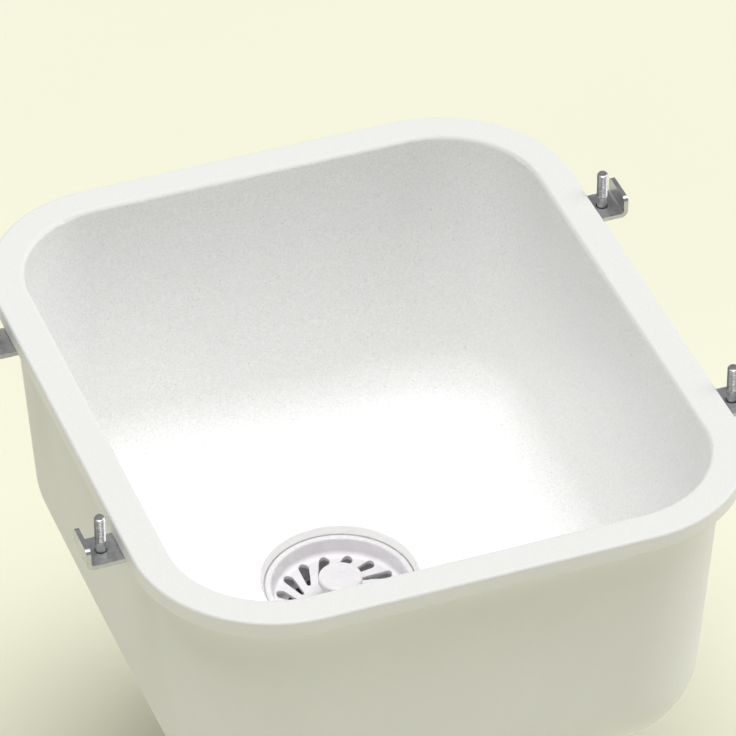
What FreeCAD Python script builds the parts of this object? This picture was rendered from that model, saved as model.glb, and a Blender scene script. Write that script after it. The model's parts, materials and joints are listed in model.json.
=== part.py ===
import FreeCAD, Part
import math
import os

os.makedirs("parts", exist_ok=True)

# Undermount bar sink with its strainer and mounting hardware, in millimetres.
# +Z is up, +Y is towards the back and +X is to the right.
# The origin is the centre of the bowl's opening, on the rim's top face.

# Bowl, one moulded shell
bowl_width = 292.0  # inside, left to right, at the rim
bowl_length = 341.0  # inside, front to back, at the rim
bowl_depth = 178.0  # from the rim to the floor beside the drain
bowl_corner = 56.0  # inside corner radius at the rim
wall_draft = 4.0  # degrees, each wall leaning outwards
wall_thickness = 8.0
floor_thickness = 8.0
cove_radius = 42.0  # inside round between wall and floor
floor_fall = 2.0  # degrees, towards the drain
rim_width = 19.0
rim_thickness = 10.0
rim_inner_round = 2.5
rim_outer_round = 1.5
rim_root_round = 3.0  # under the rim, where it meets the wall
drain_setback = 32.0  # drain's axis behind the bowl's middle
boss_drop = 6.0  # flat boss round the drain, below the floor's underside
boss_margin = 3.0  # boss radius beyond the flange's recess

# Strainer body, let into the floor and sized from the basket that it holds
flange_width = 12.65  # flange beyond the body, all round
flange_thickness = 3.0
seal_thickness = 1.0  # bed of sealant under the flange
seal_gap = 0.45  # sealant between the flange's edge and its recess
seal_dip = 0.15  # sealant's edge below the floor
throat_clearance = 0.6  # throat round the basket's lip
throat_flare = 2.2  # throat opens by this from the basket's lip up to the floor
throat_round = 2.0  # throat's edge at the floor
cup_clearance = 0.5  # sump's wall round the basket's cup
body_wall = 4.0  # sump's wall, thread included
body_foot_round = 4.5
hole_clearance = 0.75  # bowl's hole round the body
sump_cone = 12.0  # degrees, sump floor towards the outlet
sump_taper = 1.5  # sump's wall draws in by this
sump_round = 2.0
seat_width = 5.0  # flat ring that the stopper closes on
funnel_drop = 6.0  # from the seat down to the outlet's bore
outlet_step = 0.55  # outlet's bore inside the tailpiece's outside
spigot_length = 24.0
thread_pitch = 2.2
thread_depth = 0.9
thread_clearance = 0.25
thread_showing = 4.0  # thread below the locknut

# Clamping stack under the floor
washer_width = 11.5  # rubber washer and friction ring, measured across the ring
rubber_thickness = 3.0
friction_thickness = 1.5
locknut_height = 11.0
locknut_wall = 8.5
lug_count = 8
lug_length = 5.0
lug_width = 9.0
lug_setback = 3.0  # lugs stop this far above the nut's bottom

# Tailpiece
tailpiece_diameter = 38.1
tailpiece_wall = 1.8
tailpiece_length = 102.0
collar_width = 3.75  # tailpiece's flange beyond its tube
tailpiece_flange_thickness = 2.5
tailpiece_washer_thickness = 2.5
tailpiece_clearance = 0.4  # nut's lip round the tube
neck_relief = 0.3  # tube is thinner by this inside the nut, so that the nut turns freely
neck_showing = 3.0  # thinner length below the nut
nut_height = 22.0
nut_lip = 4.0
nut_wall = 3.8
nut_rib_count = 16
nut_rib_diameter = 3.6

# Basket
basket_diameter = 83.2  # over the lip
basket_drop = 4.8  # lip's top below the floor
lip_width = 3.6
lip_height = 3.2
basket_depth = 11.2  # lip's top to the floor, at the wall
basket_wall = 2.0
basket_floor = 1.8
basket_draw = 1.2  # cup's wall draws in by this
basket_dish = 1.0  # floor falls by this towards the hub
basket_foot_round = 4.0
hub_diameter = 17.0
hub_rise = 3.5  # hub's top above the basket's floor
slot_count = 16
slot_edge = 1.2  # slot's outer end from the cup's wall
slot_length = 15.2  # from end to end, towards the axis
slot_outer_width = 6.0
slot_inner_width = 2.3
slot_swirl = 15.5  # degrees that a slot turns on its way in
slot_phase = -4.2  # degrees, first slot's outer end

# Plunger: knob, post, ring seal and stopper
plunger_travel = 4.5
end_gap = 0.5  # left between plunger and hub at each end of the travel
seat_gap = 0.3  # left between the closed stopper and its seat
knob_diameter = 24.4
knob_head = 5.0
neck_diameter = 13.0
neck_length = 4.2
post_diameter = 9.9
post_clearance = 0.05
post_shoulder = 1.7  # post's ends in the knob and the stopper are thinner by this
post_spigot_length = 3.0  # post's end in the knob
snug_clearance = 0.05  # between pieces that are pushed together
ring_height = 1.8
ring_section = 1.8
ring_side_gap = 0.1  # groove wider than the ring, each side
ring_margin = 1.3  # hub beyond the ring at each end of the travel
stopper_diameter = 60.0
stopper_margin = 0.5  # stopper's edge inside its seat's outer edge
stopper_height = 5.0
stopper_lip = 2.0
stopper_band = 5.0  # sealing ring under the stopper's edge
stopper_washer_diameter = 16.0
stopper_washer_thickness = 1.0
stopper_recess = 2.0  # washer's seat above the stopper's bottom
screw_diameter = 4.0
screw_length = 10.0
screw_head_diameter = 7.6
screw_head_height = 2.4
screw_recess_length = 4.56
screw_recess_width = 1.2

# Mounting clips
clip_spacing = 180.0  # front pair to back pair
clip_width = 22.0
clip_thickness = 2.5
toe_clearance = 1.0  # clip's toe from the round under the rim
clip_heel = 20.0  # reach beyond the rim's edge
clip_bend = 1.5  # inside bend radius
clip_corner = 3.0  # corners of the strip's two ends
bolt_offset = 9.0  # bolt's axis beyond the rim's edge
bolt_diameter = 6.0  # over the thread
bolt_shank_diameter = 5.4
bolt_reach = 12.0  # thread standing above the rim's plane
bolt_thread_length = 16.0
bolt_head_width = 10.0  # across flats
bolt_head_height = 4.0
bolt_hole_clearance = 0.6
bolt_washer_diameter = 13.0
bolt_washer_thickness = 1.2

small_round = 0.6  # broken edges of moulded and turned pieces

# Radii on the drain's axis
lip_r = basket_diameter / 2
cup_r = lip_r - lip_width
foot_r = cup_r - basket_draw
throat_r = lip_r + throat_clearance
sump_r = cup_r + basket_wall + cup_clearance
body_r = sump_r + body_wall
hole_r = body_r + hole_clearance
flange_r = body_r + flange_width
recess_r = flange_r + seal_gap
tube_r = tailpiece_diameter / 2
outlet_r = tube_r - outlet_step
stopper_r = stopper_diameter / 2
seat_r = stopper_r + stopper_margin
collar_r = tube_r + collar_width
spigot_r = collar_r + thread_depth
hub_r = hub_diameter / 2
post_r = post_diameter / 2
bore_r = post_r + post_clearance
post_end_r = post_r - post_shoulder

# Heights, from the floor beside the drain downwards
floor_z = -bowl_depth
recess_z = floor_z - flange_thickness - seal_thickness
boss_z = floor_z - floor_thickness - boss_drop
rubber_z = boss_z - rubber_thickness
friction_z = rubber_z - friction_thickness
locknut_z = friction_z - locknut_height
lip_z = floor_z - basket_drop
ledge_z = lip_z - lip_height
cup_z = lip_z - basket_depth
hub_floor_z = cup_z - basket_dish
hub_top_z = hub_floor_z + hub_rise
hub_length = plunger_travel + ring_height + 2 * ring_margin
hub_bottom_z = hub_top_z - hub_length
neck_z = hub_top_z + plunger_travel + end_gap
knob_head_z = neck_z + neck_length
knob_top_z = knob_head_z + knob_head
stopper_top_z = hub_bottom_z - end_gap
stopper_z = stopper_top_z - stopper_height
washer_seat_z = stopper_z + stopper_recess
seat_z = stopper_z - plunger_travel - seat_gap
sump_foot_z = seat_z + (sump_r - sump_taper - seat_r) * math.tan(math.radians(sump_cone))
body_bottom_z = seat_z - funnel_drop
spigot_z = body_bottom_z - spigot_length
collar_top_z = spigot_z - tailpiece_washer_thickness
collar_z = collar_top_z - tailpiece_flange_thickness
nut_z = collar_z - nut_lip

# Rim and clips
rim_edge_x = bowl_width / 2 + rim_width
clip_toe = rim_width - wall_thickness - rim_root_round - toe_clearance
bolt_x = rim_edge_x + bolt_offset
clip_z = -rim_thickness - clip_thickness
bolt_head_z = clip_z - bolt_washer_thickness


def vec(x, y, z):
    return FreeCAD.Vector(x, y, z)


def on_drain(shape):
    """Move a shape made about the Z axis onto the drain's axis."""
    shape.translate(vec(0, drain_setback, 0))
    return shape


def rounded_corner(before, corner, after, radius):
    """Two points and an arc's middle that round a corner, no larger than its sides allow."""
    back = before - corner
    ahead = after - corner
    side = 0.49 * min(back.Length, ahead.Length)
    back.normalize()
    ahead.normalize()
    half = back.getAngle(ahead) / 2
    radius = min(radius, side * math.tan(half))
    along = radius / math.tan(half)
    middle = back + ahead
    middle.normalize()
    depth = radius / math.sin(half) - radius
    return corner + back * along, corner + middle * depth, corner + ahead * along


def outline(corners):
    """Closed wire through points in the XZ plane, each (x, z) or (x, z, round)."""
    points = [vec(c[0], 0, c[1]) for c in corners]
    rounds = [c[2] if len(c) > 2 else 0 for c in corners]
    count = len(points)
    runs = []
    for i in range(count):
        if rounds[i] > 0:
            runs.append(rounded_corner(points[i - 1], points[i], points[(i + 1) % count], rounds[i]))
        else:
            runs.append((points[i],))
    edges = []
    for i in range(count):
        run = runs[i]
        if len(run) == 3:
            edges.append(Part.Arc(*run).toShape())
        edges.append(Part.LineSegment(run[-1], runs[(i + 1) % count][0]).toShape())
    return Part.Wire(edges)


def turned(corners):
    """Solid turned about the drain's axis from corners (radius, height) or (radius, height, round)."""
    face = Part.Face(outline(corners))
    solid = face.revolve(vec(0, 0, 0), vec(0, 0, 1), 360)
    return on_drain(solid)


def ring(inner_r, outer_r, top, bottom, edge_round):
    """Flat ring on the drain's axis with its outer edges rounded."""
    outer = [(outer_r, top, edge_round), (outer_r, bottom, edge_round)]
    return turned([(inner_r, top)] + outer + [(inner_r, bottom)])


def thread(crest_r, top, bottom):
    """Corners of a thread's outline, from its top down to its bottom."""
    turns = int((top - bottom) / thread_pitch)
    start = top - (top - bottom - turns * thread_pitch) / 2
    corners = [(crest_r, top)]
    for i in range(turns):
        z = start - i * thread_pitch
        corners.append((crest_r, z - 0.2 * thread_pitch))
        corners.append((crest_r - thread_depth, z - 0.5 * thread_pitch))
        corners.append((crest_r, z - 0.8 * thread_pitch))
    return corners


def around(shape, count):
    """Copies of a shape turned about the drain's axis."""
    copies = []
    for i in range(count):
        copy = shape.copy()
        copy.rotate(vec(0, drain_setback, 0), vec(0, 0, 1), 360 * i / count)
        copies.append(copy)
    return copies


def rounded_rectangle(width, length, radius, z):
    """Closed wire of a rectangle with round corners, centred on the Z axis."""
    arcs = []
    for i, (side_x, side_y) in enumerate(((1, 1), (-1, 1), (-1, -1), (1, -1))):
        centre = vec(side_x * (width / 2 - radius), side_y * (length / 2 - radius), z)
        points = []
        for step in range(3):
            angle = math.radians(90 * i + 45 * step)
            points.append(centre + vec(math.cos(angle), math.sin(angle), 0) * radius)
        arcs.append(points)
    edges = []
    for i in range(4):
        edges.append(Part.Arc(*arcs[i]).toShape())
        edges.append(Part.LineSegment(arcs[i][2], arcs[(i + 1) % 4][0]).toShape())
    return Part.Wire(edges)


def bowl_form(grow, drop):
    """Bowl's inside shape, grown outwards by grow and with its floor lowered by drop."""
    low = bowl_depth + drop + boss_drop
    inset = low * math.tan(math.radians(wall_draft))
    width = bowl_width + 2 * grow
    length = bowl_length + 2 * grow
    corner = bowl_corner + grow
    top = rounded_rectangle(width, length, corner, 0)
    bottom = rounded_rectangle(width - 2 * inset, length - 2 * inset, corner - inset, -low)
    block = Part.makeLoft([top, bottom], True, True)
    reach = bowl_width + bowl_length
    rise = (reach - recess_r) * math.tan(math.radians(floor_fall))
    floor = floor_z - drop
    under = [(0, floor), (recess_r, floor), (reach, floor + rise), (reach, -low - 1), (0, -low - 1)]
    block = block.cut(turned(under))
    edges = [e for e in block.Edges if at_floor(e)]
    return block.makeFillet(min(cove_radius + grow, corner - inset), edges)


def at_floor(edge):
    """True for an edge where a wall meets the floor, outside the flange's recess."""
    low = all(v.Z < floor_z / 2 for v in edge.Vertexes)
    return low and all(math.hypot(v.X, v.Y - drain_setback) > recess_r + 1 for v in edge.Vertexes)


def level_edges(shape, z, width, length):
    """Edges that lie at one height and inside a rectangle."""
    found = []
    for edge in shape.Edges:
        box = edge.BoundBox
        level = abs(box.ZMin - z) < 0.01 and abs(box.ZMax - z) < 0.01
        narrow = max(-box.XMin, box.XMax) < width / 2
        short = max(-box.YMin, box.YMax) < length / 2
        if level and narrow and short:
            found.append(edge)
    return found


def rim_plate():
    """Flat rim round the bowl's mouth, with its outer edges rounded."""
    width = bowl_width + 2 * rim_width
    length = bowl_length + 2 * rim_width
    outer = rounded_rectangle(width, length, bowl_corner + rim_width, 0)
    plate = Part.Face(outer).extrude(vec(0, 0, -rim_thickness))
    level = [e for e in plate.Edges if e.BoundBox.ZLength < 0.01]
    return plate.makeFillet(rim_outer_round, level)


def sink_bowl():
    boss_r = recess_r + boss_margin
    boss = turned([(0, floor_z), (boss_r, floor_z), (boss_r, boss_z, small_round), (0, boss_z)])
    outside = bowl_form(wall_thickness, floor_thickness)
    shell = outside.fuse(rim_plate()).removeSplitter()
    shell = shell.makeFillet(rim_root_round, level_edges(shell, -rim_thickness, *wall_box(rim_thickness)))
    shell = shell.fuse(boss).cut(bowl_form(0, 0))
    shell = shell.makeFillet(rim_inner_round, level_edges(shell, 0, bowl_width + 1, bowl_length + 1))
    recess = turned([(0, floor_z + 1), (recess_r, floor_z + 1), (recess_r, recess_z), (0, recess_z)])
    hole = turned([(0, floor_z), (hole_r, floor_z), (hole_r, boss_z - 1), (0, boss_z - 1)])
    return shell.cut(recess).cut(hole).removeSplitter()


def wall_box(depth):
    """Width and length that just hold the bowl's outside at a depth."""
    inset = depth * math.tan(math.radians(wall_draft))
    grow = 2 * (wall_thickness - inset) + 1
    return bowl_width + grow, bowl_length + grow


def strainer_body():
    corners = [(flange_r, floor_z, small_round), (flange_r, floor_z - flange_thickness)]
    corners += [(body_r, floor_z - flange_thickness)]
    corners += thread(body_r, recess_z, locknut_z - thread_showing)
    corners += [(body_r - thread_depth, locknut_z - thread_showing)]
    corners += [(body_r - thread_depth, body_bottom_z, body_foot_round)]
    corners += [(collar_r, body_bottom_z)]
    corners += thread(spigot_r, body_bottom_z - thread_pitch, spigot_z)
    corners += [(spigot_r, spigot_z), (outlet_r, spigot_z)]
    corners += [(outlet_r, body_bottom_z), (seat_r - seat_width, seat_z), (seat_r, seat_z)]
    corners += [(sump_r - sump_taper, sump_foot_z, sump_round), (sump_r, ledge_z)]
    corners += [(throat_r, ledge_z), (throat_r, lip_z), (throat_r + throat_flare, floor_z, throat_round)]
    return turned(corners)


def flange_seal():
    under = floor_z - flange_thickness
    top = floor_z - seal_dip
    corners = [(hole_r, under), (flange_r, under), (flange_r, top)]
    corners += [(recess_r, top), (recess_r, recess_z), (hole_r, recess_z)]
    return turned(corners)


def rubber_washer():
    inner = body_r + thread_clearance
    return ring(inner, inner + washer_width, boss_z, rubber_z, small_round)


def friction_ring():
    inner = body_r + thread_clearance
    return ring(inner, inner + washer_width, rubber_z, friction_z, 0)


def locknut():
    inner = body_r + thread_clearance
    outer = inner + locknut_wall
    nut = ring(inner, outer, friction_z, locknut_z, small_round)
    lug_height = locknut_height - lug_setback
    lug = Part.makeBox(locknut_wall / 2 + lug_length, lug_width, lug_height)
    lug.translate(vec(outer - locknut_wall / 2, drain_setback - lug_width / 2, friction_z - lug_height))
    upright = [e for e in lug.Edges if e.BoundBox.ZLength > lug_height / 2 and e.BoundBox.XMin > outer]
    lug = lug.makeFillet(2 * small_round, upright)
    return nut.multiFuse(around(lug, lug_count)).removeSplitter()


def coupling_nut():
    inner = spigot_r + thread_clearance
    outer = inner + nut_wall
    mouth = tube_r + tailpiece_clearance
    top = nut_z + nut_height
    corners = [(inner, top), (outer, top, 2 * small_round), (outer, nut_z, 2 * small_round)]
    corners += [(mouth, nut_z, small_round), (mouth, collar_z), (inner, collar_z)]
    nut = turned(corners)
    rib = Part.makeCylinder(nut_rib_diameter / 2, nut_height - 6 * small_round)
    rib.translate(vec(outer, drain_setback, nut_z + 3 * small_round))
    return nut.multiFuse(around(rib, nut_rib_count)).removeSplitter()


def tailpiece_washer():
    return ring(outlet_r, collar_r, spigot_z, collar_top_z, 0)


def tailpiece():
    end = collar_top_z - tailpiece_length
    inner = tube_r - tailpiece_wall
    neck_r = tube_r - neck_relief
    neck_z = nut_z - neck_showing
    corners = [(inner, collar_top_z, small_round), (collar_r, collar_top_z), (collar_r, collar_z)]
    corners += [(neck_r, collar_z), (neck_r, neck_z + neck_relief), (tube_r, neck_z)]
    corners += [(tube_r, end), (inner, end)]
    return turned(corners)


def slot():
    """Cutter for one slot: two round ends of different width, joined by straight sides."""
    outer_r = slot_outer_width / 2
    inner_r = slot_inner_width / 2
    start = math.radians(slot_phase)
    finish = start + math.radians(slot_swirl)
    low = hub_floor_z - 2 * basket_floor
    reach = foot_r - slot_edge
    outer = vec(math.cos(start), math.sin(start), 0) * (reach - outer_r) + vec(0, 0, low)
    inner = vec(math.cos(finish), math.sin(finish), 0) * (reach - slot_length + inner_r) + vec(0, 0, low)
    along = inner - outer
    lean = (outer_r - inner_r) / along.Length
    along.normalize()
    across = vec(-along.y, along.x, 0) * math.sqrt(1 - lean * lean)
    left = along * lean + across
    right = along * lean - across
    edges = [Part.Arc(outer + left * outer_r, outer - along * outer_r, outer + right * outer_r).toShape()]
    edges.append(Part.LineSegment(outer + right * outer_r, inner + right * inner_r).toShape())
    edges.append(Part.Arc(inner + right * inner_r, inner + along * inner_r, inner + left * inner_r).toShape())
    edges.append(Part.LineSegment(inner + left * inner_r, outer + left * outer_r).toShape())
    cutter = Part.Face(Part.Wire(edges)).extrude(vec(0, 0, lip_z - low))
    return on_drain(cutter)


def basket_cup():
    corners = [(bore_r, hub_top_z), (hub_r, hub_top_z, small_round), (hub_r, hub_floor_z)]
    corners += [(foot_r, cup_z, basket_foot_round), (cup_r, lip_z, lip_width / 3)]
    corners += [(lip_r, lip_z, lip_width / 3), (lip_r, ledge_z, small_round), (cup_r + basket_wall, ledge_z)]
    corners += [(foot_r + basket_wall, cup_z - basket_floor, basket_foot_round)]
    corners += [(hub_r, hub_floor_z - basket_floor), (hub_r, hub_bottom_z, small_round)]
    corners += [(bore_r, hub_bottom_z)]
    return turned(corners).cut(Part.makeCompound(around(slot(), slot_count)))


def knob():
    hole_top = neck_z + post_spigot_length + snug_clearance
    hole = post_end_r + snug_clearance
    head = knob_diameter / 2
    neck = neck_diameter / 2
    corners = [(0, knob_top_z), (head, knob_top_z, knob_head / 3), (head, knob_head_z, knob_head / 4)]
    corners += [(neck, knob_head_z, small_round), (neck, neck_z, small_round)]
    corners += [(hole, neck_z), (hole, hole_top), (0, hole_top)]
    return turned(corners)


def ring_groove():
    """Top and bottom of the post's groove, with the plunger raised."""
    top = hub_top_z - ring_margin + ring_side_gap
    return top, top - ring_height - 2 * ring_side_gap


def post():
    groove_r = bore_r - snug_clearance - ring_section - snug_clearance
    groove_top, groove_bottom = ring_groove()
    screw_r = screw_diameter / 2 + snug_clearance
    screw_top = washer_seat_z + screw_length
    spigot_top = neck_z + post_spigot_length
    corners = [(0, spigot_top), (post_end_r, spigot_top), (post_end_r, neck_z)]
    corners += [(post_r, neck_z), (post_r, groove_top), (groove_r, groove_top)]
    corners += [(groove_r, groove_bottom), (post_r, groove_bottom), (post_r, stopper_top_z)]
    corners += [(post_end_r, stopper_top_z), (post_end_r, washer_seat_z), (screw_r, washer_seat_z)]
    corners += [(screw_r, screw_top), (0, screw_top)]
    return turned(corners)


def post_ring():
    groove_top, groove_bottom = ring_groove()
    top = groove_top - ring_side_gap
    bottom = groove_bottom + ring_side_gap
    outer = bore_r - snug_clearance
    inner = outer - ring_section
    bulge = ring_section / 3
    return turned([(inner, top, bulge), (outer, top, bulge), (outer, bottom, bulge), (inner, bottom, bulge)])


def stopper():
    inner = post_end_r + snug_clearance
    recess = stopper_r - stopper_band
    corners = [(inner, stopper_top_z), (stopper_r, stopper_top_z, 2 * small_round)]
    corners += [(stopper_r, stopper_z + stopper_lip, small_round)]
    corners += [(stopper_r - stopper_lip / 2, stopper_z, small_round)]
    corners += [(recess, stopper_z, small_round), (recess, washer_seat_z), (inner, washer_seat_z)]
    return turned(corners)


def stopper_washer():
    hole = screw_diameter / 2 + snug_clearance
    return ring(hole, stopper_washer_diameter / 2, washer_seat_z, washer_seat_z - stopper_washer_thickness, 0)


def stopper_screw():
    seat = washer_seat_z - stopper_washer_thickness
    low = seat - screw_head_height
    head = screw_head_diameter / 2
    shank = screw_diameter / 2
    top = washer_seat_z + screw_length - snug_clearance
    corners = [(0, top), (shank, top, small_round), (shank, seat), (head, seat)]
    screw = turned(corners + [(head, low, small_round), (0, low)])
    bar = Part.makeBox(screw_recess_length, screw_recess_width, screw_head_height / 2)
    bar.translate(vec(-screw_recess_length / 2, drain_setback - screw_recess_width / 2, low))
    return screw.cut(Part.makeCompound([bar] + around(bar, 4)[1:2]))


def bolt_hole(radius):
    """Upright cutter on the right-hand clip's bolt axis."""
    cutter = Part.makeCylinder(radius, rim_thickness + clip_thickness)
    cutter.translate(vec(bolt_x, 0, clip_z - clip_thickness))
    return cutter


def clip():
    """Bent steel strip at the middle of the right-hand rim: toe under the rim, heel up to its plane."""
    toe_x = rim_edge_x - clip_toe
    heel_x = rim_edge_x + clip_heel
    corners = [(toe_x, -rim_thickness), (heel_x - clip_thickness, -rim_thickness, clip_bend)]
    corners += [(heel_x - clip_thickness, 0), (heel_x, 0)]
    corners += [(heel_x, clip_z, clip_bend + clip_thickness), (toe_x, clip_z)]
    strip = Part.Face(outline(corners)).extrude(vec(0, clip_width, 0))
    strip.translate(vec(0, -clip_width / 2, 0))
    strip = strip.makeFillet(clip_corner, [e for e in strip.Edges if abs(e.Length - clip_thickness) < 0.01])
    return strip.cut(bolt_hole(bolt_shank_diameter / 2 + bolt_hole_clearance))


def clip_bolt():
    """Hex bolt for the clip at the middle of the right-hand rim."""
    corners = []
    for i in range(7):
        angle = math.radians(60 * i)
        corner = vec(math.cos(angle), math.sin(angle), 0) * (bolt_head_width / math.sqrt(3))
        corners.append(corner + vec(0, 0, bolt_head_z - bolt_head_height))
    head = Part.Face(Part.makePolygon(corners)).extrude(vec(0, 0, bolt_head_height))
    thread_z = bolt_reach - bolt_thread_length
    shank_r = bolt_shank_diameter / 2
    thread_r = bolt_diameter / 2
    bevel = thread_r - shank_r
    profile = [(0, bolt_reach), (shank_r, bolt_reach), (thread_r, bolt_reach - bevel), (thread_r, thread_z)]
    profile += [(shank_r, thread_z - bevel), (shank_r, bolt_head_z - bolt_head_height / 2)]
    profile += [(0, bolt_head_z - bolt_head_height / 2)]
    shank = Part.Face(outline(profile)).revolve(vec(0, 0, 0), vec(0, 0, 1), 360)
    bolt = head.fuse(shank).removeSplitter()
    bolt.translate(vec(bolt_x, 0, 0))
    return bolt


def clip_washer():
    """Washer between a clip and its bolt's head."""
    disc = Part.makeCylinder(bolt_washer_diameter / 2, bolt_washer_thickness)
    disc.translate(vec(bolt_x, 0, bolt_head_z))
    return disc.cut(bolt_hole(bolt_shank_diameter / 2 + bolt_hole_clearance / 2))


def at_clip(shape, right, back):
    """Copy of a right-hand piece moved to one of the four clip places."""
    copy = shape.copy()
    if not right:
        copy.rotate(vec(0, 0, 0), vec(0, 0, 1), 180)
    copy.translate(vec(0, clip_spacing / 2 if back else -clip_spacing / 2, 0))
    return copy


def save(name, shape):
    shape.exportStep("parts/" + name + ".step")


for make in (
    sink_bowl,
    strainer_body,
    flange_seal,
    rubber_washer,
    friction_ring,
    locknut,
    coupling_nut,
    tailpiece_washer,
    tailpiece,
    basket_cup,
    knob,
    post,
    post_ring,
    stopper,
    stopper_washer,
    stopper_screw,
):
    save(make.__name__, make())

places = [(right, back) for right in (False, True) for back in (False, True)]
for right, back in places:
    name = "clip_" + ("right" if right else "left") + ("_back" if back else "_front")
    save(name, at_clip(clip(), right, back))
save("clip_bolts", Part.makeCompound([at_clip(clip_bolt(), *place) for place in places]))
save("clip_washers", Part.makeCompound([at_clip(clip_washer(), *place) for place in places]))
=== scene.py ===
import json
import math

import bmesh
import bpy
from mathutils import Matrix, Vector


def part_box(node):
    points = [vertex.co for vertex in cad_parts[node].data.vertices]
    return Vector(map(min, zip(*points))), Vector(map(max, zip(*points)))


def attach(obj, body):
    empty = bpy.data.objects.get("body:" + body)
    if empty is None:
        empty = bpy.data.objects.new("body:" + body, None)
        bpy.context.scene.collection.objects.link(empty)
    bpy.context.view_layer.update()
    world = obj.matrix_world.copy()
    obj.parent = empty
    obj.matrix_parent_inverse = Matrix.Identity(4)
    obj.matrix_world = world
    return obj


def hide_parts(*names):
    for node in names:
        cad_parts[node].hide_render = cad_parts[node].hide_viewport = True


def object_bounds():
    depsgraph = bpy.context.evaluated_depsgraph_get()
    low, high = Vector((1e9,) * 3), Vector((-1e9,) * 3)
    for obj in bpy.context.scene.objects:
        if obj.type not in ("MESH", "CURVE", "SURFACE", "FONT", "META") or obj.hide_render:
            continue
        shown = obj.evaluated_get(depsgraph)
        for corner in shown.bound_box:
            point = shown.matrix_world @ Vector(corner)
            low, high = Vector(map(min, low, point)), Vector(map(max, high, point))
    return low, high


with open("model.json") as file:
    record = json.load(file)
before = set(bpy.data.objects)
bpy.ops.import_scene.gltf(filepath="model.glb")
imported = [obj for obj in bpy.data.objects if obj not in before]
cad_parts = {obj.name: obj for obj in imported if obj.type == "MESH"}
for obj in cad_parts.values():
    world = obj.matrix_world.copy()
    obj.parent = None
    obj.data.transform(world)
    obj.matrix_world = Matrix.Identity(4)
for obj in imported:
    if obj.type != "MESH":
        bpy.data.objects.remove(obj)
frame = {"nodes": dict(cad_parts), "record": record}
nodes = frame["nodes"]
cad_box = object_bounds()
scene = bpy.context.scene

MM = 0.001  # the scene is in metres
NOISE_LOW = 0.3  # a noise texture seldom goes below this,
NOISE_HIGH = 0.7  # or above this

floor_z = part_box("strainer_body")[1].z  # bowl's floor round the drain
lip_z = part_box("basket_cup")[1].z  # top of the basket's lip


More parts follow.
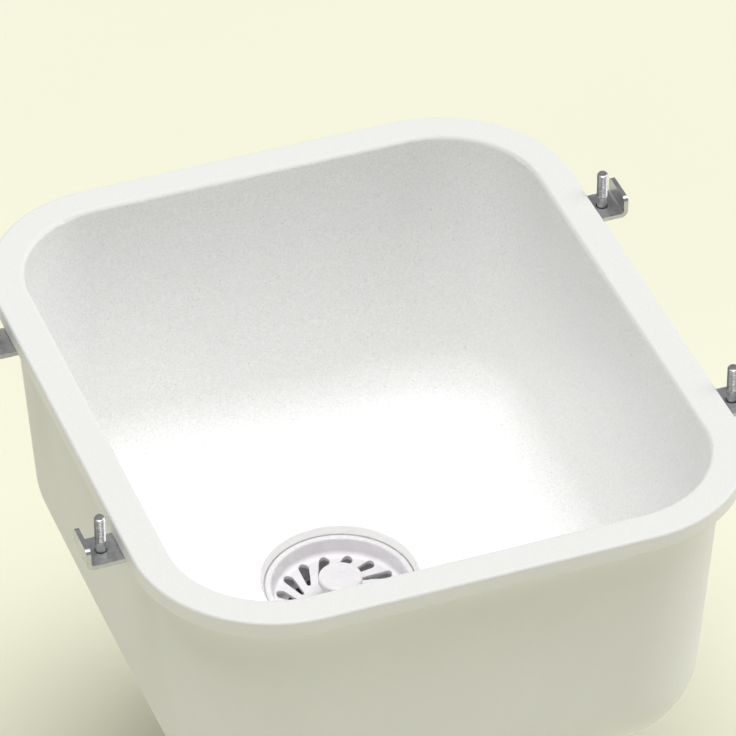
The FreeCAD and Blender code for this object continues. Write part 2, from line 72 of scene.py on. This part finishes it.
class Look:
    """A procedural material: its shader, and short ways to add the nodes that drive it."""

    def __init__(self, name, **values):
        self.material = bpy.data.materials.new(name)
        self.material.use_nodes = True
        self.tree = self.material.node_tree
        self.shader = self.tree.nodes["Principled BSDF"]
        for socket, value in values.items():
            self.shader.inputs[socket.replace("_", " ")].default_value = value
        self.place = self.add("ShaderNodeTexCoord").outputs["Object"]

    def add(self, kind, **inputs):
        node = self.tree.nodes.new(kind)
        for socket, value in inputs.items():
            self.put(node.inputs[socket.replace("_", " ")], value)
        return node

    def put(self, socket, value):
        """A socket takes either a fixed value or another node's output."""
        if isinstance(value, bpy.types.NodeSocket):
            self.tree.links.new(value, socket)
        else:
            socket.default_value = value

    def combine(self, kind, operation, a, b):
        """Outputs of a math node on two values."""
        node = self.add(kind)
        node.operation = operation
        self.put(node.inputs[0], a)
        self.put(node.inputs[1], b)
        return node.outputs

    def times(self, a, b):
        return self.combine("ShaderNodeMath", "MULTIPLY", a, b)["Value"]

    def larger(self, a, b):
        return self.combine("ShaderNodeMath", "MAXIMUM", a, b)["Value"]

    def span(self, value, low, high, to_low=0.0, to_high=1.0):
        """Number that goes from to_low to to_high as the value goes from low to high, and no further."""
        node = self.add("ShaderNodeMapRange", Value=value, From_Min=low, From_Max=high,
                        To_Min=to_low, To_Max=to_high)
        return node.outputs["Result"]

    def blend(self, share, a, b):
        """Number that goes from a to b."""
        node = self.add("ShaderNodeMix")
        self.put(node.inputs[0], share)
        self.put(node.inputs[2], a)
        self.put(node.inputs[3], b)
        return node.outputs[0]

    def mix(self, share, a, b):
        """Colour that goes from a to b."""
        node = self.add("ShaderNodeMix")
        node.data_type = "RGBA"
        self.put(node.inputs[0], share)
        for socket, colour in ((node.inputs[6], a), (node.inputs[7], b)):
            self.put(socket, colour if isinstance(colour, bpy.types.NodeSocket) else (*colour, 1.0))
        return node.outputs[2]

    def stretched(self, x, y, z):
        """Places for a texture that is drawn out along the axes with small numbers."""
        return self.add("ShaderNodeMapping", Vector=self.place, Scale=(x, y, z)).outputs["Vector"]

    def noise(self, scale, detail=2.0, roughness=0.5, place=None):
        """Noise with that many lumps a metre."""
        node = self.add("ShaderNodeTexNoise", Vector=place or self.place, Scale=scale,
                        Detail=detail, Roughness=roughness)
        return node.outputs["Fac"]

    def vary(self, noise, low, high):
        """Number that goes from low to high with a noise."""
        return self.span(noise, NOISE_LOW, NOISE_HIGH, low, high)

    def tint(self, noise, a, b, low=NOISE_LOW, high=NOISE_HIGH):
        """Colour that goes from a to b as a noise goes from low to high."""
        return self.mix(self.span(noise, low, high), a, b)

    def cells(self, scale):
        """Cells, so many a metre, each with a chance colour."""
        return self.add("ShaderNodeTexVoronoi", Vector=self.place, Scale=scale).outputs

    def chance(self, cells, channel):
        """One number for each cell, from its chance colour."""
        return self.add("ShaderNodeSeparateColor", Color=cells["Color"]).outputs[channel]

    def specks(self, scale, size, share, fade=0.02):
        """Mask of dots of that size in that share of cells, and of fainter dots in a few more."""
        cells = self.cells(scale)
        dot = self.span(cells["Distance"], 0.5 * size, size, 1.0, 0.0)
        return self.times(dot, self.span(self.chance(cells, "Red"), share, share + fade, 1.0, 0.0))

    def faces_away(self, point):
        """1 where the surface faces away from a point, 0 where it faces it."""
        shape = self.add("ShaderNodeNewGeometry").outputs
        arm = self.combine("ShaderNodeVectorMath", "SUBTRACT", shape["Position"], point)["Vector"]
        away = self.combine("ShaderNodeVectorMath", "DOT_PRODUCT", arm, shape["True Normal"])["Value"]
        return self.span(away, -MM, MM)

    def z_of(self, vector):
        return self.add("ShaderNodeSeparateXYZ", Vector=vector).outputs["Z"]

    def above(self, height, fade):
        """1 above a height, and 0 from a fade's depth below it."""
        return self.span(self.z_of(self.place), height - fade, height)

    def below(self, height, fade):
        """0 above a height, and 1 from a fade's depth below it."""
        return self.span(self.z_of(self.place), height - fade, height, 1.0, 0.0)

    def faces_up(self, start, end):
        """0 where the surface's upward share is under start, 1 where it is over end."""
        normal = self.add("ShaderNodeTexCoord").outputs["Normal"]
        return self.span(self.z_of(normal), start, end)

    def colour(self, value):
        self.put(self.shader.inputs["Base Color"], value)

    def rough(self, value):
        self.put(self.shader.inputs["Roughness"], value)

    def bump(self, height, depth):
        """Relief of that depth in metres."""
        node = self.add("ShaderNodeBump", Distance=depth, Height=height)
        self.put(self.shader.inputs["Normal"], node.outputs["Normal"])


def solid_surface():
    """Speckled moulded shell with a rougher outside, and a sanded rim that is painted darker grey as
    shade.
    """
    look = Look("solid_surface", IOR=1.5)
    bowl_middle = Vector((0, 0, -60 * MM))
    outside = look.faces_away(bowl_middle)
    # Sanded rim face and painted shade: the rim's top and its rounded edges get a darker grey than the
    # shell, standing in for shade under the lamps.
    sanded_and_shaded = look.above(-0.3 * MM, fade=1.5 * MM)
    grain = look.noise(800, detail=3.0, roughness=0.75)
    cloud = look.noise(14)
    dust = look.noise(900, detail=4.0, roughness=0.7, place=look.stretched(1, 1, 0.1))
    shell = look.tint(grain, (0.8, 0.8, 0.79), (0.955, 0.955, 0.945), low=0.34, high=0.66)
    shell = look.mix(look.vary(cloud, 0, 0.25), shell, (0.87, 0.87, 0.86))
    shell = look.mix(look.specks(900, size=0.36, share=0.006), shell, (0.5, 0.5, 0.49))
    shell = look.mix(look.specks(800, size=0.4, share=0.08), shell, (0.98, 0.98, 0.97))
    raw = look.mix(cloud, (0.81, 0.81, 0.81), (0.87, 0.87, 0.87))
    # Rim tone: darker grey painted shade, with a dusty sanded mottle.
    rim = look.tint(dust, (0.622, 0.622, 0.602), (0.69, 0.69, 0.671))
    look.colour(look.mix(sanded_and_shaded, look.mix(outside, shell, raw), rim))
    satin = look.vary(look.noise(90, detail=3.0), 0.3, 0.42)
    matt = 0.62
    look.rough(look.blend(look.larger(outside, sanded_and_shaded), satin, matt))
    cast = look.noise(160, detail=4.0, roughness=0.6)
    look.bump(look.blend(outside, look.times(grain, 0.1), cast), 0.3 * MM)
    return look.material


def body_plastic():
    """White plastic, with painted shade and dark dirt specks in the throat above the basket's lip."""
    look = Look("body_plastic", IOR=1.46)
    cloud = look.noise(60)
    unshaded_tone = look.tint(cloud, (0.92, 0.92, 0.925), (0.96, 0.96, 0.965))
    # Painted shade: a darker copy of the white, put on the throat between the basket's lip and the bowl's
    # floor.
    painted_shade_tone = look.tint(cloud, (0.775, 0.775, 0.765), (0.815, 0.815, 0.805))
    # Dark dirt specks on the painted shade.
    painted_shade_tone = look.mix(look.specks(900, size=0.3, share=0.02), painted_shade_tone, (0.63, 0.63, 0.62))
    over_lip = look.above(lip_z - 1.2 * MM, fade=1.5 * MM)
    under_floor = look.below(floor_z - 0.1 * MM, fade=0.6 * MM)
    look.colour(look.mix(look.times(over_lip, under_floor), unshaded_tone, painted_shade_tone))
    look.rough(look.vary(look.noise(140, detail=3.0), 0.24, 0.36))
    look.bump(look.noise(700), 0.02 * MM)
    return look.material


def basket_plastic():
    """White plastic, with painted shade on its upward faces and on everything above the basket's lip."""
    look = Look("basket_plastic", IOR=1.46, Coat_Weight=0.15, Coat_Roughness=0.2)
    cloud = look.noise(45)
    unshaded_tone = look.tint(cloud, (0.81, 0.785, 0.81), (0.84, 0.82, 0.84))
    # Painted shade: a darker copy of the white for the upward faces, the lip and the knob; the upright
    # walls keep the lighter tone.
    painted_shade_tone = look.tint(cloud, (0.605, 0.59, 0.605), (0.633, 0.619, 0.633))
    # Mask of the painted shade: faces turned upwards, and everything above the lip.
    painted_shade_mask = look.larger(look.faces_up(0.75, 0.98), look.above(lip_z - 0.3 * MM, fade=1.0 * MM))
    look.colour(look.mix(painted_shade_mask, unshaded_tone, painted_shade_tone))
    look.rough(look.vary(look.noise(140, detail=3.0), 0.22, 0.34))
    look.bump(look.noise(700), 0.02 * MM)
    return look.material


def pipe_plastic():
    """Greyer plastic with faint upright flow lines."""
    look = Look("pipe_plastic", IOR=1.5)
    flow = look.noise(60, detail=4.0, roughness=0.6, place=look.stretched(1, 1, 0.12))
    ground = look.tint(flow, (0.72, 0.72, 0.70), (0.79, 0.79, 0.77))
    look.colour(look.mix(look.specks(400, size=0.14, share=0.2), ground, (0.6, 0.59, 0.56)))
    look.rough(look.vary(look.noise(120, detail=3.0), 0.36, 0.5))
    look.bump(look.noise(900, detail=3.0), 0.04 * MM)
    return look.material


def nylon():
    look = Look("nylon", IOR=1.53)
    cloud = look.noise(150, detail=3.0)
    look.colour(look.tint(cloud, (0.55, 0.54, 0.48), (0.64, 0.63, 0.57)))
    look.rough(look.vary(cloud, 0.4, 0.52))
    look.bump(look.noise(800), 0.03 * MM)
    return look.material


def sealant():
    look = Look("sealant", IOR=1.41)
    smear = look.noise(120, detail=3.0, roughness=0.55)
    look.colour(look.tint(smear, (0.84, 0.84, 0.83), (0.91, 0.91, 0.90)))
    look.rough(look.vary(look.noise(300), 0.38, 0.6))
    look.bump(smear, 0.2 * MM)
    return look.material


def black_rubber():
    """Black with a grey bloom and a little dust."""
    look = Look("black_rubber", IOR=1.52)
    bloom = look.noise(80, detail=4.0, roughness=0.6)
    ground = look.tint(bloom, (0.008, 0.008, 0.009), (0.022, 0.022, 0.023), low=0.4, high=0.75)
    look.colour(look.mix(look.specks(600, size=0.15, share=0.3), ground, (0.05, 0.05, 0.05)))
    look.rough(look.vary(bloom, 0.52, 0.72))
    look.bump(look.noise(1200, detail=3.0), 0.05 * MM)
    return look.material


def fibre():
    """Brown pressed fibre with strands both ways."""
    look = Look("fibre", IOR=1.5)
    strands = look.noise(900, detail=4.0, roughness=0.65, place=look.stretched(1, 0.25, 1))
    cross = look.noise(700, detail=3.0, roughness=0.6, place=look.stretched(0.25, 1, 1))
    ground = look.tint(strands, (0.12, 0.065, 0.03), (0.25, 0.15, 0.08))
    look.colour(look.mix(look.span(cross, 0.45, 0.75, 0, 0.6), ground, (0.34, 0.23, 0.13)))
    look.rough(look.vary(cross, 0.7, 0.88))
    look.bump(strands, 0.12 * MM)
    return look.material


def steel():
    """Zinc-coated steel: spangles under brush marks along X."""
    look = Look("steel", Metallic=1.0)
    brushed = look.noise(2600, detail=3.0, roughness=0.6, place=look.stretched(0.03, 1, 1))
    spangle = look.chance(look.cells(420), "Green")
    ground = look.tint(spangle, (0.46, 0.47, 0.49), (0.58, 0.585, 0.59), low=0, high=1)
    look.colour(look.mix(look.span(brushed, 0.4, 0.7, 0, 0.5), ground, (0.7, 0.7, 0.7)))
    look.rough(look.vary(brushed, 0.32, 0.48))
    look.bump(brushed, 0.01 * MM)
    return look.material


makers = (solid_surface, body_plastic, basket_plastic, pipe_plastic, nylon, sealant, black_rubber,
          fibre, steel)
looks = {make.__name__: make() for make in makers}
for subpart in frame["record"]["subparts"]:
    nodes[subpart["node"]].material_slots[0].material = looks[subpart["material_slot"]]


def ring(bm, x, y, z, radii):
    """Points round an upright axis, one for each radius."""
    turn = 2 * math.pi / len(radii)
    return [bm.verts.new((x + r * math.cos(i * turn), y + r * math.sin(i * turn), z))
            for i, r in enumerate(radii)]


def skin(bm, rings):
    """Faces between each ring of points and the next."""
    for this, after in zip(rings, rings[1:]):
        for i in range(len(this)):
            j = (i + 1) % len(this)
            bm.faces.new((this[i], after[i], after[j], this[j]))


def mesh_object(name, bm):
    mesh = bpy.data.meshes.new(name)
    bm.to_mesh(mesh)
    bm.free()
    piece = bpy.data.objects.new(name, mesh)
    scene.collection.objects.link(piece)
    return piece


# Clip bolts with a real helix and a bevelled head, in place of the plain cylinders. The head is below.
bolt_low, bolt_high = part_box("clip_bolts")
bolt_sides = 36
stud_top = bolt_high.z
tip_r = 2.25 * MM
shank_r = 2.7 * MM
crest_rise = 0.3 * MM  # thread's crest and root, out and in from the shank
root_drop = 0.25 * MM
thread_pitch = 1.0 * MM
thread_foot = 0.75  # share of the pitch that the thread takes at its foot
thread_flanks = 0.6  # share that its two flanks take
thread_end = -4.0 * MM  # height where the thread runs out
thread_rings = 118
rings_a_turn = 7
head_bottom = bolt_low.z
head_top = head_bottom + 4.0 * MM
head_flat = 5.0 * MM  # from the axis to a flat
head_corner = head_flat / math.cos(math.pi / 6)
head_rings = 10
face_r = 4.7 * MM  # round faces at both ends of the head
face_edge_r = 4.75 * MM
face_inset_r = 4.5 * MM
fillet_r = 3.0 * MM
bevel_slope = 1.73
fillet_height = 0.7 * MM  # shank's flare above the head
head_edge = 0.1 * MM  # broken edge round the head's upper face
bolt_x = bolt_high.x - head_corner
bolt_y = bolt_high.y - head_flat


def clamped(value):
    return min(1.0, max(0.0, value))


def thread_radius(angle, z):
    """Flat-topped helix with a chamfered tip, which fades into the shank."""
    turn = (z / thread_pitch - angle / (2 * math.pi)) % 1.0
    crest = clamped((thread_foot - abs(2 * turn - 1)) / thread_flanks)
    fade = clamped((z - thread_end) / thread_pitch)
    cut = shank_r + fade * (crest_rise * crest - root_drop * (1 - crest))
    return min(cut, tip_r + stud_top - z)


def head_radius(angle, z):
    """Hexagon with bevelled lower corners."""
    hexagon = head_flat / math.cos(angle % (math.pi / 3) - math.pi / 6)
    return min(hexagon, face_r + bevel_slope * (z - head_bottom))


def evenly(radius):
    """Radius that is the same all round."""
    return lambda angle, z: radius


def bolt_rows():
    """Heights from the bolt's tip down to its head, each with its radius by angle and height."""
    hex_top = head_top - 2 * head_edge
    hex_step = (hex_top - head_bottom) / head_rings
    rows = [(stud_top - i * thread_pitch / rings_a_turn, thread_radius) for i in range(thread_rings)]
    rows += [(head_top + fillet_height, evenly(shank_r)), (head_top + head_edge, evenly(fillet_r))]
    rows += [(head_top, evenly(face_r)), (head_top - head_edge, evenly(face_edge_r))]
    rows += [(hex_top - i * hex_step, head_radius) for i in range(head_rings + 1)]
    rows += [(head_bottom, evenly(face_inset_r))]
    return rows


def add_bolt(bm, x, y):
    angles = [2 * math.pi * i / bolt_sides for i in range(bolt_sides)]
    rings = [ring(bm, x, y, z, [radius(angle, z) for angle in angles]) for z, radius in bolt_rows()]
    skin(bm, rings)
    bm.faces.new(rings[0])
    bm.faces.new(list(reversed(rings[-1])))


def threaded_bolts():
    bm = bmesh.new()
    for x in (-bolt_x, bolt_x):
        for y in (-bolt_y, bolt_y):
            add_bolt(bm, x, y)
    piece = mesh_object("threaded_bolts", bm)
    piece.data.materials.append(looks["steel"])
    return piece


bolts = threaded_bolts()
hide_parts("clip_bolts")
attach(bolts, "sink")


# Pale plain floor, just under the tailpiece's end, that turns up far away so that low views see no horizon
floor_gap = 0.5 * MM
floor_radius = 7.0
floor_turn = 1.3  # radius of its upturned edge
floor_sides = 96
floor_turn_steps = 12


def floor_look():
    look = Look("floor", Roughness=0.9)
    look.colour(look.tint(look.noise(3), (0.668, 0.663, 0.528), (0.683, 0.677, 0.541)))
    return look.material


def floor_sweep():
    """Flat disc whose edge turns up by a quarter circle."""
    bm = bmesh.new()
    rings = []
    for step in range(floor_turn_steps + 1):
        angle = 0.5 * math.pi * step / floor_turn_steps
        reach = floor_radius + floor_turn * math.sin(angle)
        rings.append(ring(bm, 0, 0, floor_turn * (1 - math.cos(angle)), [reach] * floor_sides))
    bm.faces.new(rings[0])
    skin(bm, rings)
    for face in bm.faces:
        face.smooth = True
    return bm


floor = mesh_object("floor", floor_sweep())
floor.location = (0, 0, cad_box[0].z - floor_gap)
floor.data.materials.append(floor_look())


def soft_lamp(name, tilt, azimuth, strength, spread=35):
    """Broad far lamp that shines from that azimuth, its tilt from overhead and its spread in degrees."""
    lamp = bpy.data.objects.new(name, bpy.data.lights.new(name, "SUN"))
    lamp.data.energy = strength
    lamp.data.angle = math.radians(spread)
    lamp.rotation_euler = (0, math.radians(tilt), math.radians(azimuth))
    scene.collection.objects.link(lamp)


def even_light(strength):
    """World of one white, which fills the shadows."""
    world = bpy.data.worlds.new("studio")
    world.use_nodes = True
    background = world.node_tree.nodes["Background"]
    background.inputs["Color"].default_value = (1, 1, 1, 1)
    background.inputs["Strength"].default_value = strength
    scene.world = world


def add_camera(place, ahead, lens, far):
    """Camera that looks along ahead, with its lens in millimetres on a 36 mm sensor."""
    camera = bpy.data.objects.new("camera", bpy.data.cameras.new("camera"))
    camera.data.lens = lens
    camera.data.sensor_width = 36.0
    camera.data.clip_end = far
    camera.location = place
    camera.rotation_euler = Vector(ahead).to_track_quat("-Z", "Y").to_euler()
    scene.collection.objects.link(camera)
    scene.camera = camera


soft_lamp("front", tilt=10, azimuth=270, strength=1.05)
soft_lamp("left", tilt=10, azimuth=180, strength=1.62)
soft_lamp("right", tilt=25, azimuth=0, strength=0.75)
soft_lamp("low_right", tilt=55, azimuth=0, strength=0.97)
even_light(0.12)
scene.view_settings.view_transform = "Standard"
# The photo's viewing angle and framing
add_camera(place=(-0.84393, -2.27712, 1.93227), ahead=(0.27272, 0.73216, -0.62415), lens=288.73, far=50.0)
